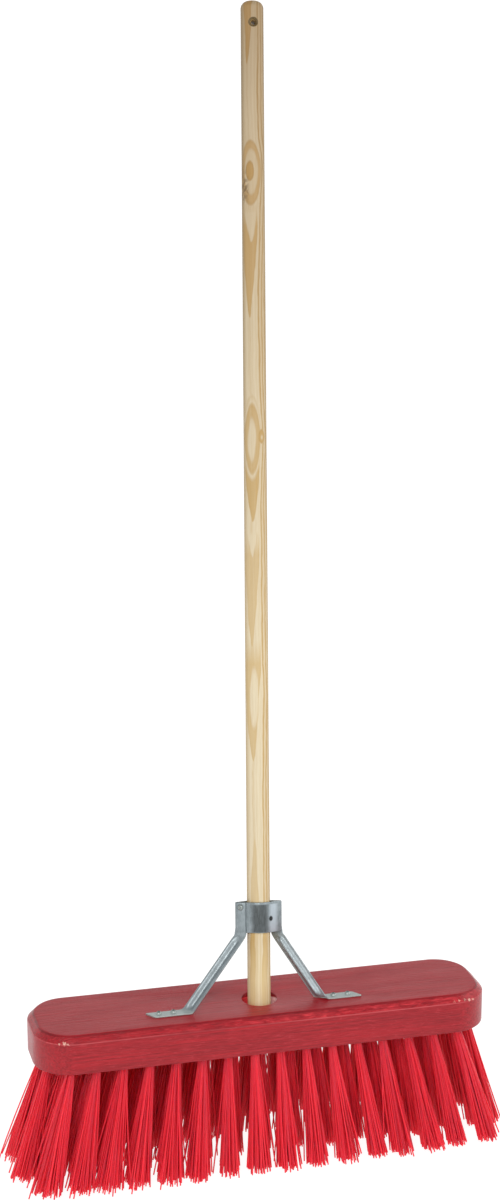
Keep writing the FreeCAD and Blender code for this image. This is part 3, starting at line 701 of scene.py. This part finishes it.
def make_tufts(row_name, seed):
    """All filaments of one row as one mesh, each face marked with its filament's shade."""
    rng = random.Random(seed)
    points = []
    faces = []
    shades = []
    for x, y, fan in ROWS[row_name]:
        root, down = tuft_axis(x, y, fan)
        tip = root + down * (UNDERSIDE / -down.z)
        tip.z = max(0.0, UNDERSIDE + TUFT_FREE * down.z)
        tip += Vector((rng.gauss(0, TIP_SCATTER_ALONG), rng.gauss(0, TIP_SCATTER_ACROSS), 0))
        spread = rng.uniform(*TUFT_SPREADS)
        spread *= 1 + (WORN_SPREAD - 1) * ease(-x / WORN_REACH)
        for number in range(FILAMENTS):
            line = filament_line(rng, root, tip, number, spread)
            way = (line[-1] - line[0]).normalized()
            side = way.cross(Vector((0, 1, 0))).normalized()
            other = way.cross(side)
            shade = rng.random()
            start = len(points)
            for point in line:
                for i in range(FILAMENT_SIDES):
                    angle = 2 * math.pi * i / FILAMENT_SIDES
                    spoke = side * math.cos(angle) + other * math.sin(angle)
                    points.append((point + spoke * FILAMENT_RADIUS) * MM)
            for station in range(len(line) - 1):
                low = start + station * FILAMENT_SIDES
                for i in range(FILAMENT_SIDES):
                    j = (i + 1) % FILAMENT_SIDES
                    faces.append((low + i, low + FILAMENT_SIDES + i, low + FILAMENT_SIDES + j, low + j))
            last = start + (len(line) - 1) * FILAMENT_SIDES
            faces.append(tuple(last + i for i in reversed(range(FILAMENT_SIDES))))
            faces.append(tuple(start + i for i in range(FILAMENT_SIDES)))
            shades.extend([shade] * (FILAMENT_SIDES * (len(line) - 1) + 2))
    mesh = bpy.data.meshes.new("bristles_" + row_name)
    mesh.from_pydata(points, [], faces)
    mesh.attributes.new("shade", "FLOAT", "FACE").data.foreach_set("value", shades)
    for face in mesh.polygons:
        face.use_smooth = True
    mesh.set_sharp_from_angle(angle=math.radians(65))
    return mesh


# ---------------------------------------------------------------- materials
def palette(**colors):
    """Named colours, given by their linear parts."""
    return {name: (*parts, 1.0) for name, parts in colors.items()}


def grey(level):
    """A grey, given by its linear level."""
    return (level, level, level, 1.0)


PAINT = palette(deep=(0.20, 0.002, 0.006), plain=(0.40, 0.004, 0.012), cloud=(0.19, 0.002, 0.008),
                raised=(0.50, 0.04, 0.055), sunk=(0.14, 0.001, 0.005), top=(0.60, 0.012, 0.022),
                scratch=(0.12, 0.004, 0.010), chip=(0.72, 0.46, 0.36), dust=(0.52, 0.03, 0.045),
                rubbed=(0.62, 0.13, 0.14), fleck=(0.70, 0.045, 0.058), pit=(0.17, 0.002, 0.008),
                bead=(0.15, 0.002, 0.006), hole=(0.90, 0.06, 0.075), bare_hole=(1.0, 0.60, 0.64))
# Chips in the paint: place and size.
CHIPS = [((-222, -52.5, 166.5), 2.1), ((-218, -53.5, 165.4), 1.2), ((-227, -51, 166), 0.9),
         ((224, -51.5, 166), 1.8), ((219, -52.5, 167.2), 1.2), ((229, -50, 165.6), 1.3),
         ((212, -53.5, 167.2), 1.0), ((206, -54, 166.6), 0.8), ((-248, -18, 133), 2.0)]
CHIP_ROUGHNESS = 1.2


def painted_wood():
    """Glossy red paint over planed wood: fine lengthwise grain, scuffs, chips on the corners."""
    n = Nodes("painted_wood")
    grain = n.noise(n.coords((7, 620, 620)), 4, 0.6, 0.15)
    fine = n.noise(n.coords((60, 1500, 1500)), 2, 0.5)
    patches = n.noise(n.coords((14, 60, 60)), 3, 0.55)
    fibres = n.noise(n.coords((110, 700, 420)), 4, 0.72, 0.4)
    red = n.mix(n.span(grain, 0.34, 0.66), PAINT["deep"], PAINT["plain"])
    red = n.mix(n.span(patches, 0.35, 0.7, 0.0, 0.35), red, PAINT["cloud"])
    red = n.mix(n.span(fibres, 0.56, 0.70, 0.0, 0.45), red, PAINT["raised"])
    red = n.mix(n.span(fibres, 0.44, 0.32, 0.0, 0.45), red, PAINT["sunk"])

    # Painted light: the flat top is painted a little brighter, as where the light falls on it; dark
    # lengthwise scratches lie in it.
    place = n.coords()
    along, _, up = n.split(place)
    depth = n.over(n.minus(TOP * MM, up), MM)
    on_top = n.span(depth, 0.6, 0.2)
    red = n.mix(n.times(on_top, 0.2), red, PAINT["top"])
    scratches = n.noise(n.coords((22, 900, 900)), 3, 0.65, 0.5)
    red = n.mix(n.times(on_top, n.span(scratches, 0.60, 0.70, 0.0, 0.6)), red, PAINT["scratch"])

    # Chips show pale wood, then dust lies over all of it.
    ragged = n.noise(n.coords((900, 900, 900)), 3, 0.6)
    ragged = n.span(ragged, 0.3, 0.7, -CHIP_ROUGHNESS * MM, CHIP_ROUGHNESS * MM)
    for chip, size in CHIPS:
        away = n.node("ShaderNodeVectorMath")
        away.operation = "DISTANCE"
        n.put(away.inputs[0], place)
        away.inputs[1].default_value = Vector(chip) * MM
        reach = n.plus(away.outputs["Value"], ragged)
        red = n.mix(n.span(reach, size * MM * 0.7, size * MM, 1.0, 0.0), red, PAINT["chip"])
    red = n.mix(n.span(fine, 0.42, 0.66, 0.0, 0.35), red, PAINT["dust"])

    # Painted highlight: a pale pink line along the lower edge of the bevel, where the rounded edge catches
    # the light.
    rubbed = n.span(n.distance(depth, BLOCK_BEVEL), 0.2, 0.7, 1.0, 0.0)
    rubbed = n.times(rubbed, n.span(grain, 0.35, 0.65, 0.05, 0.6))
    red = n.mix(rubbed, red, PAINT["rubbed"])

    # On the bevel the paint is uneven, with dark pits; painted highlights lie on it as bright flecks, more
    # to the right.
    on_bevel = n.times(n.span(depth, BLOCK_BEVEL, BLOCK_BEVEL - 1), n.span(depth, 0.4, 1))
    flecks = n.noise(n.coords((75, 380, 380)), 4, 0.65, 0.5)
    bright_part = n.times(on_bevel, n.span(along, -120 * MM, 20 * MM, 0.35, 1.0))
    red = n.mix(n.times(bright_part, n.span(flecks, 0.50, 0.66, 0.12, 0.75)), red, PAINT["fleck"])
    red = n.mix(n.times(on_bevel, n.span(flecks, 0.46, 0.36, 0.0, 0.6)), red, PAINT["pit"])
    # A darker line runs along its upper edge, heavier in patches.
    bead = n.times(n.span(n.distance(depth, 1.1), 0.5, 1.2, 1.0, 0.0),
                   n.span(patches, 0.3, 0.6, 0.25, 0.75))
    red = n.mix(bead, red, PAINT["bead"])

    # Painted light: the socket's wall is painted bright red, and pale pink on its right side, to lift the
    # shade in the socket.
    x, y, t = n.split(n.handle_coords())
    in_hole = n.times(n.span(n.length(x, y), SOCKET_RADIUS + 0.15, SOCKET_RADIUS + 0.35, 1.0, 0.0),
                      n.span(t, -1.4, -0.2, 1.0, 0.0))
    red = n.mix(in_hole, red, n.mix(n.span(x, 4, 14), PAINT["hole"], PAINT["bare_hole"]))

    normal = n.bump(n.plus(n.times(grain, 0.7), n.times(fine, 0.3)), 0.7, 0.8 * MM)
    normal = n.bump(fibres, 0.4, 0.9 * MM, normal)
    normal = n.bump(n.times(flecks, on_bevel), 0.6, 1.2 * MM, normal)
    rough = n.minus(n.span(patches, 0.3, 0.7, 0.30, 0.42), n.times(on_bevel, 0.1))
    return n.finish(Base_Color=red, Roughness=rough, Normal=normal, Coat_Weight=0.25, Coat_Roughness=0.3,
                    Specular_IOR_Level=0.2)


# Tones of the wood low on the stick, their aged tones higher up, then its marks, its painted light and
# shade, and the hanging hole.
PINE = palette(pale=(0.685, 0.595, 0.42), tan=(0.52, 0.35, 0.13), line=(0.47, 0.285, 0.085),
               aged_pale=(0.40, 0.31, 0.20), aged_tan=(0.315, 0.175, 0.050), aged_line=(0.24, 0.14, 0.042),
               clean=(0.88, 0.74, 0.44), olive=(0.17, 0.125, 0.058), handled=(0.23, 0.15, 0.07),
               fibre=(0.30, 0.20, 0.085), crack=(0.13, 0.08, 0.035), dirt=(0.075, 0.048, 0.018),
               drilled=(0.20, 0.135, 0.055), deep_bore=(0.42, 0.28, 0.12))
# Turn of the wood's layers about the handle, and the distance between two of them.
GRAIN_TURN = -14.3
RING_SPACING = 3.7
# Where the lines swing round the knots: height, reach, sideways push.
SWINGS = [(894, 34, 4.0), (605, 40, 3.0), (330, 45, 2.2), (700, 90, -1.2)]
# Flames: middle, open end, point, width, shade.  Ovals: middle, height, half height, half width, shade.
FIGURES = [("flame", -5.0, 1083, 1012, 5.0, 0.9),
           ("flame", -4.6, 836, 736, 8.5, 0.85),
           ("flame", -3.5, 850, 818, 7.0, 0.08),
           ("oval", -2.6, 894, 36, 11.0, 0.75),
           ("oval", -2.2, 895, 26, 7.6, 0.15),
           ("oval", -3.5, 896, 11, 4.6, 1.0),
           ("flame", -3.5, 570, 515, 8.0, 0.85),
           ("oval", -3.4, 606, 47, 9.6, 0.06),
           ("oval", -3.3, 605, 39, 8.2, 0.75),
           ("oval", -3.8, 604, 26, 4.8, 0.05),
           ("oval", 6.4, 608, 8.0, 3.4, 0.95),
           ("oval", 6.6, 607, 3.2, 1.5, 0.1),
           ("flame", -4.5, 480, 380, 8.0, 0.62),
           ("flame", -4.0, 500, 476, 5.0, 0.05),
           ("flame", -4.4, 362, 256, 9.5, 0.68),
           ("oval", -2.4, 325, 35, 5.3, 0.04),
           ("flame", -4.0, -22, 174, 8.5, 0.5),
           ("oval", -6.8, 18, 84, 2.8, 0.95),
           ("oval", 0.2, 24, 76, 2.0, 0.0),
           ("oval", 6.2, 30, 80, 2.4, 0.85)]
# Darkest shade that a figure has without a line of its own along its rim.
RIM_SHADE = 0.35


def pine():
    """Planed pine: pale wood with tan flames and ovals, a big knot, golden lines down one side."""
    n = Nodes("pine")
    x, y, t = n.split(n.handle_coords(GRAIN_TURN))
    wander = n.noise(n.handle_coords(GRAIN_TURN, (0.05, 0.05, 0.016)), 3, 0.55)
    shifted = n.plus(x, n.times(n.minus(wander, 0.5), 6.0))
    uneven = n.noise(n.handle_coords(GRAIN_TURN, (0.5, 0.5, 0.03)), 3, 0.6)
    shifted = n.plus(shifted, n.times(n.minus(uneven, 0.5), 1.6))

    # Straight lines of late wood, strongest on the right; they swing round the knots.
    ring = shifted
    for middle, reach, push in SWINGS:
        away = n.over(n.minus(t, middle), reach)
        swing = n.math("POWER", 2.718, n.times(n.times(away, away), -1.0))
        ring = n.minus(ring, n.times(swing, push))
    # On the back of the stick the layers are met at another angle.
    ring = n.plus(ring, n.times(n.plus(y, HANDLE_RADIUS), 0.25))
    phase = n.math("FRACT", n.over(ring, RING_SPACING))
    lines = n.ramp(phase, [(0.0, grey(0)), (0.4, grey(0.15)), (0.72, grey(1)), (0.88, grey(1)),
                           (1.0, grey(0))])
    late = n.times(lines, n.span(ring, 3.0, 5.5, 0.16, 1.0))
    # Painted shade: both edges of the stick take the late-wood line colour, darkening its limbs.
    rim_tone = n.math("MAXIMUM", n.span(x, -9.2, -12.2, 0.0, 0.65), n.span(x, 10.2, 12.3, 0.0, 0.65))
    late = n.math("MAXIMUM", late, rim_tone)
    tan = n.times(n.span(ring, 4.0, 7.0), 0.22)

    # Each figure replaces what lies under it and has a thin darker line along its rim.
    for kind, middle, first, second, width, shade in FIGURES:
        off = n.distance(shifted, middle)
        if kind == "oval":
            away = n.length(n.over(off, width), n.over(n.minus(t, first), second))
            depth = n.times(n.minus(1.0, away), width)
            whole = n.span(y, 2, 5, 1.0, 0.0)
        else:
            # A flame runs from its open end (first) to its point (second).
            share = n.span(t, second, first)
            depth = n.minus(n.times(n.math("POWER", share, 0.6), width), off)
            soft_end = first + (first - second) * 0.25
            whole = n.times(n.span(t, soft_end, first), n.span(y, 4, 8, 1.0, 0.0))
        cover = n.times(n.span(depth, -0.2, 0.7), whole)
        late = n.times(late, n.minus(1.0, n.times(cover, 0.85)))
        tan = n.plus(tan, n.times(cover, n.minus(shade, tan)))
        rim = n.times(n.span(depth, -0.5, 0.3), n.span(depth, 0.4, 1.6, 1.0, 0.0))
        late = n.math("MAXIMUM", late, n.times(n.times(rim, whole), abs(shade - RIM_SHADE)))

    streaks = n.noise(n.handle_coords(GRAIN_TURN, (0.9, 0.9, 0.012)), 4, 0.6)
    fibre = n.noise(n.handle_coords(GRAIN_TURN, (3.5, 3.5, 0.05)), 2, 0.6)
    tan = n.plus(tan, n.times(n.minus(streaks, 0.5), 0.55))
    tan = n.span(tan, 0, 1)
    strong_lines = n.times(late, 0.9)
    fresh = n.mix(strong_lines, n.mix(tan, PINE["pale"], PINE["tan"]), PINE["line"])
    aged = n.mix(strong_lines, n.mix(tan, PINE["aged_pale"], PINE["aged_tan"]), PINE["aged_line"])
    wood = n.mix(n.span(t, 350, 1040), fresh, aged)
    # Painted light: the foot of the stick, next to the block, is painted lighter to lift the shade there.
    wood = n.mix(n.span(t, 62, 20, 0.0, 0.4), wood, PINE["clean"])
    # Painted shade: both edges of the stick are painted olive grey, more so towards the top, as shade at
    # its limbs.
    edges = n.math("MAXIMUM", n.span(x, -8.5, -12.0, 0.0, 0.7), n.span(x, 10.4, 12.3, 0.0, 0.45))
    wood = n.mix(n.times(edges, n.span(t, 450, 1000, 0.3, 1.0)), wood, PINE["olive"])
    # The top end is darkened by hands.
    handled = n.times(n.span(t, 960, 1070, 0.0, 0.4), n.span(streaks, 0.3, 0.7, 0.5, 1.0))
    wood = n.mix(handled, wood, PINE["handled"])
    wood = n.mix(n.span(fibre, 0.35, 0.75, 0.0, 0.22), wood, PINE["fibre"])

    # The left rim of the big knot is cracked and brown.
    crumbs = n.noise(n.coords((320, 320, 170)), 3, 0.6)
    at_knot = n.times(n.span(x, -4, -8), n.times(n.span(t, 858, 872), n.span(t, 905, 880)))
    crack = n.times(n.span(crumbs, 0.45, 0.54), at_knot)
    wood = n.mix(n.times(crack, 0.8), wood, PINE["crack"])

    # The hanging hole's mouth is dark brown, with rings left by the drill. Painted light: its depth, dark
    # with shade, is painted lighter.
    sideways, _, up = n.split(n.handle_coords(-HANG_TURN))
    from_bore = n.length(n.minus(up, HANDLE_TOP - HANG_BELOW_TOP), n.plus(sideways, 0.4))
    in_bore = n.span(from_bore, HANG_MOUTH_RADIUS - 0.1, HANG_MOUTH_RADIUS + 0.6, 1.0, 0.0)
    drill_rings = n.math("FRACT", n.over(from_bore, 1.5))
    hole = n.mix(n.span(drill_rings, 0.2, 0.8, 0.0, 0.8), PINE["dirt"], PINE["drilled"])
    hole = n.mix(n.span(from_bore, HANG_RADIUS + 0.6, HANG_RADIUS + 0.1), hole, PINE["deep_bore"])
    wood = n.mix(in_bore, wood, hole)

    normal = n.bump(n.plus(n.times(fibre, 0.6), n.times(late, 0.3)), 0.3, 0.4 * MM)
    normal = n.bump(crack, -0.6, 1.2 * MM, normal)
    return n.finish(Base_Color=wood, Roughness=n.span(late, 0, 1, 0.58, 0.46), Normal=normal,
                    Specular_IOR_Level=0.35)


ZINC = palette(dark=(0.17, 0.20, 0.21), light=(0.41, 0.47, 0.50), band=(0.05, 0.055, 0.055),
               bright_side=(0.49, 0.56, 0.61), leg=(0.53, 0.60, 0.63), foot=(0.53, 0.59, 0.56),
               grime=(0.04, 0.045, 0.045), screw_dark=(0.20, 0.23, 0.22), screw_light=(0.50, 0.54, 0.53),
               nail_dark=(0.010, 0.012, 0.012), nail_light=(0.07, 0.075, 0.075),
               wire_dark=(0.30, 0.31, 0.30), wire_light=(0.55, 0.56, 0.54))
# Painted shade round the nails and the rivets on the collar: place across the handle, height, full and
# faded reach, amount.
GRIME = [(NAIL_SEAT, NAIL_UP, 2.3, 3.5, 0.8), (RIVET_SEAT, RIVET_UP, 3.1, 3.9, 0.5)]


def galvanised(name, dark, light, rough, grime=()):
    """Zinc plated sheet: soft spangle, rolling lines, dull patches, a painted dark reflection on the front
    of the collar.
    """
    n = Nodes(name)
    cells = n.node("ShaderNodeTexVoronoi", Vector=n.coords((260, 260, 260)), Scale=1.0)
    spangle = n.node("ShaderNodeSeparateColor", Color=cells.outputs["Color"]).outputs[0]
    clouds = n.noise(n.coords((70, 70, 45)), 4, 0.6)
    lines = n.noise(n.handle_coords(0, (2.2, 2.2, 0.12)), 3, 0.6)
    grit = n.noise(n.coords((1400, 1400, 1400)), 2, 0.6)
    tone = n.plus(n.times(clouds, 0.42), n.times(spangle, 0.08))
    tone = n.plus(tone, n.times(lines, 0.48))
    metal = n.mix(n.span(tone, 0.36, 0.72), ZINC[dark], ZINC[light])
    x, y, t = n.split(n.handle_coords(0))
    on_collar = n.times(n.span(t, COLLAR_LOW - 0.5, COLLAR_LOW + 1.5),
                        n.span(t, COLLAR_HIGH - 1.9, COLLAR_HIGH - 3.1))
    # Painted reflection: a dark stripe down the front of the collar.
    band = n.times(n.span(n.distance(x, -1.5), 6.0, 11.0, 1.0, 0.0), n.span(y, -8, -10.5))
    band = n.times(n.times(band, on_collar), n.span(lines, 0.3, 0.7, 0.55, 1.0))
    metal = n.mix(band, metal, ZINC["band"])
    if grime:
        # Painted light: the right side of the collar is painted lighter and its left side darker.
        bright_side = n.times(n.span(x, 8, 12), n.times(on_collar, n.span(y, -3, -6)))
        metal = n.mix(n.times(bright_side, 0.8), metal, ZINC["bright_side"])
        dull_side = n.times(n.span(x, -11, -14), on_collar)
        metal = n.mix(n.times(dull_side, 0.3), metal, ZINC[dark])
        on_leg = n.times(n.span(t, COLLAR_LOW - 0.5, COLLAR_LOW - 5.5), n.span(lines, 0.3, 0.7, 0.1, 0.35))
        metal = n.mix(on_leg, metal, ZINC["leg"])
    # The feet are lighter. Painted shade: dark rings round the nails and the rivets.
    _, _, up = n.split(n.coords())
    metal = n.mix(n.span(up, (TOP + 3) * MM, (TOP + 1) * MM, 0.0, 0.8), metal, ZINC["foot"])
    for seat, height, inner, outer, amount in grime:
        for way in (1, -1):
            away = n.length(n.minus(x, seat.x * way), n.minus(y, seat.y * way), n.minus(t, height))
            metal = n.mix(n.span(away, inner, outer, amount, 0.0), metal, ZINC["grime"])
    normal = n.bump(clouds, 0.10, 1.2 * MM)
    normal = n.bump(grit, 0.10, 0.3 * MM, normal)
    return n.finish(Base_Color=metal, Metallic=0.72, Roughness=n.span(tone, 0.36, 0.72, rough, rough - 0.1),
                    Normal=normal)


BRISTLE = palette(deep=(0.68, 0.009, 0.030), bright=(0.90, 0.022, 0.046), streak=(0.92, 0.06, 0.075))


def bristle_plastic():
    """Extruded filaments: every one a little lighter or darker, dusty streaks along it."""
    n = Nodes("bristle_plastic")
    mark = n.node("ShaderNodeAttribute")
    mark.attribute_name = "shade"
    streak = n.noise(n.coords((900, 900, 60)), 2, 0.5)
    red = n.mix(mark.outputs["Fac"], BRISTLE["deep"], BRISTLE["bright"])
    red = n.mix(n.span(streak, 0.4, 0.75, 0.0, 0.3), red, BRISTLE["streak"])
    normal = n.bump(streak, 0.2, 0.3 * MM)
    return n.finish(Base_Color=red, Roughness=n.span(streak, 0.3, 0.7, 0.34, 0.5), Normal=normal,
                    Specular_IOR_Level=0.3, Subsurface_Weight=0.4, Subsurface_Scale=4 * MM)


FLOOR_GLOW = 0.92


def floor_paper():
    """Plain pale studio floor."""
    n = Nodes("floor_paper")
    pale = n.mix(n.noise(n.coords((3, 3, 3)), 2, 0.5), grey(0.22), grey(0.24))
    return n.finish(Base_Color=pale, Roughness=0.9, Emission_Color=grey(1), Emission_Strength=FLOOR_GLOW)


steel = galvanised("galvanised_steel", "dark", "light", 0.46, GRIME)
zinc = galvanised("zinc_fastener", "screw_dark", "screw_light", 0.42)
# Painted shade: the nails are painted near black, for the dark ring round their heads.
dark_zinc = galvanised("nail_zinc", "nail_dark", "nail_light", 0.5)
wire = galvanised("anchor_wire", "wire_dark", "wire_light", 0.35)
plastic = bristle_plastic()

# ---------------------------------------------------------------- the pieces
new_object("block_painted", make_block(), painted_wood(), "painted_wood", "block")
new_object("handle_pine", make_handle(), pine(), "pine", "handle")
for side, half in ((1, "front"), (-1, "rear")):
    new_object("bracket_" + half, make_bracket(side), steel, "galvanised_steel", "bracket_%s_half" % half)
    new_object("nail_" + half, make_nail(side), dark_zinc, "zinc_fastener", "collar_nail_" + half)
for side, hand in ((1, "right"), (-1, "left")):
    new_object("rivet_" + hand, make_rivet(side), zinc, "zinc_fastener", "flap_rivet_" + hand)
for seed, row_name in enumerate(ROWS, start=11):
    new_object("bristles_" + row_name, make_tufts(row_name, seed), plastic, "bristle_plastic",
               "tufts_" + row_name)
    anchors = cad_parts["anchor_wires_" + row_name]
    anchors.data.materials.clear()
    anchors.data.materials.append(wire)
for node_name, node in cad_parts.items():
    if not node_name.startswith("foot_screw"):
        continue
    node.data.materials.clear()
    node.data.materials.append(zinc)
    weld = node.modifiers.new("weld", "WELD")
    weld.merge_threshold = 0.01 * MM
    soft = node.modifiers.new("soft_edges", "BEVEL")
    soft.width = 0.12 * MM
    soft.segments = 2
    soft.limit_method = "ANGLE"
    soft.angle_limit = math.radians(40)

# ---------------------------------------------------------------- studio
FLOOR_HALF = 200
SKY_LOW = 1.1
SKY_HIGH = 0.4
AIM = (0, 0, 0.4)
CAMERA_PLACE = (-0.60047, -2.32765, 1.26255)
CAMERA_AZIMUTH = math.radians(14.263)
CAMERA_ELEVATION = math.radians(15.015)
CAMERA_LENS = 72

floor_mesh = bpy.data.meshes.new("floor")
corners = [(x * FLOOR_HALF, y * FLOOR_HALF, 0) for x, y in ((-1, -1), (1, -1), (1, 1), (-1, 1))]
floor_mesh.from_pydata(corners, [], [(0, 1, 2, 3)])
floor_mesh.materials.append(floor_paper())
floor = bpy.data.objects.new("floor", floor_mesh)
bpy.context.scene.collection.objects.link(floor)

# The sky is bright at the horizon, where it is seen, and dimmer overhead.
world = bpy.data.worlds.new("studio")
bpy.context.scene.world = world
world.use_nodes = True
sky = world.node_tree
sky_place = sky.nodes.new("ShaderNodeTexCoord")
sky_parts = sky.nodes.new("ShaderNodeSeparateXYZ")
sky.links.new(sky_place.outputs["Generated"], sky_parts.inputs[0])
sky_fade = sky.nodes.new("ShaderNodeMapRange")
sky.links.new(sky_parts.outputs["Z"], sky_fade.inputs["Value"])
for key, value in (("From Min", 0.05), ("From Max", 0.9), ("To Min", SKY_LOW), ("To Max", SKY_HIGH)):
    sky_fade.inputs[key].default_value = value
backdrop = sky.nodes["Background"]
sky.links.new(sky_fade.outputs["Result"], backdrop.inputs["Strength"])
backdrop.inputs["Color"].default_value = grey(1)


def soft_light(name, place, width, height, watts, tint):
    """A rectangular soft light pointed at the object's middle."""
    lamp = bpy.data.lights.new(name, "AREA")
    lamp.shape = "RECTANGLE"
    lamp.size = width
    lamp.size_y = height
    lamp.energy = watts
    lamp.color = tint
    obj = bpy.data.objects.new(name, lamp)
    bpy.context.scene.collection.objects.link(obj)
    obj.location = place
    obj.rotation_euler = (Vector(AIM) - Vector(place)).to_track_quat("-Z", "Y").to_euler()


soft_light("key", (-1.0, -2.5, 2.3), 1.4, 1.4, 43, (1.0, 0.99, 0.97))
soft_light("edge", (2.4, -0.6, 1.8), 0.9, 1.6, 16, (1.0, 1.0, 1.0))

camera_data = bpy.data.cameras.new("camera")
camera_data.lens = CAMERA_LENS
camera_data.sensor_width = 36
camera_data.clip_end = 500
camera = bpy.data.objects.new("camera", camera_data)
bpy.context.scene.collection.objects.link(camera)
view = Vector((math.sin(CAMERA_AZIMUTH) * math.cos(CAMERA_ELEVATION),
               math.cos(CAMERA_AZIMUTH) * math.cos(CAMERA_ELEVATION), -math.sin(CAMERA_ELEVATION)))
camera.location = CAMERA_PLACE
camera.rotation_euler = view.to_track_quat("-Z", "Y").to_euler()
bpy.context.scene.camera = camera
bpy.context.scene.view_settings.view_transform = "Standard"
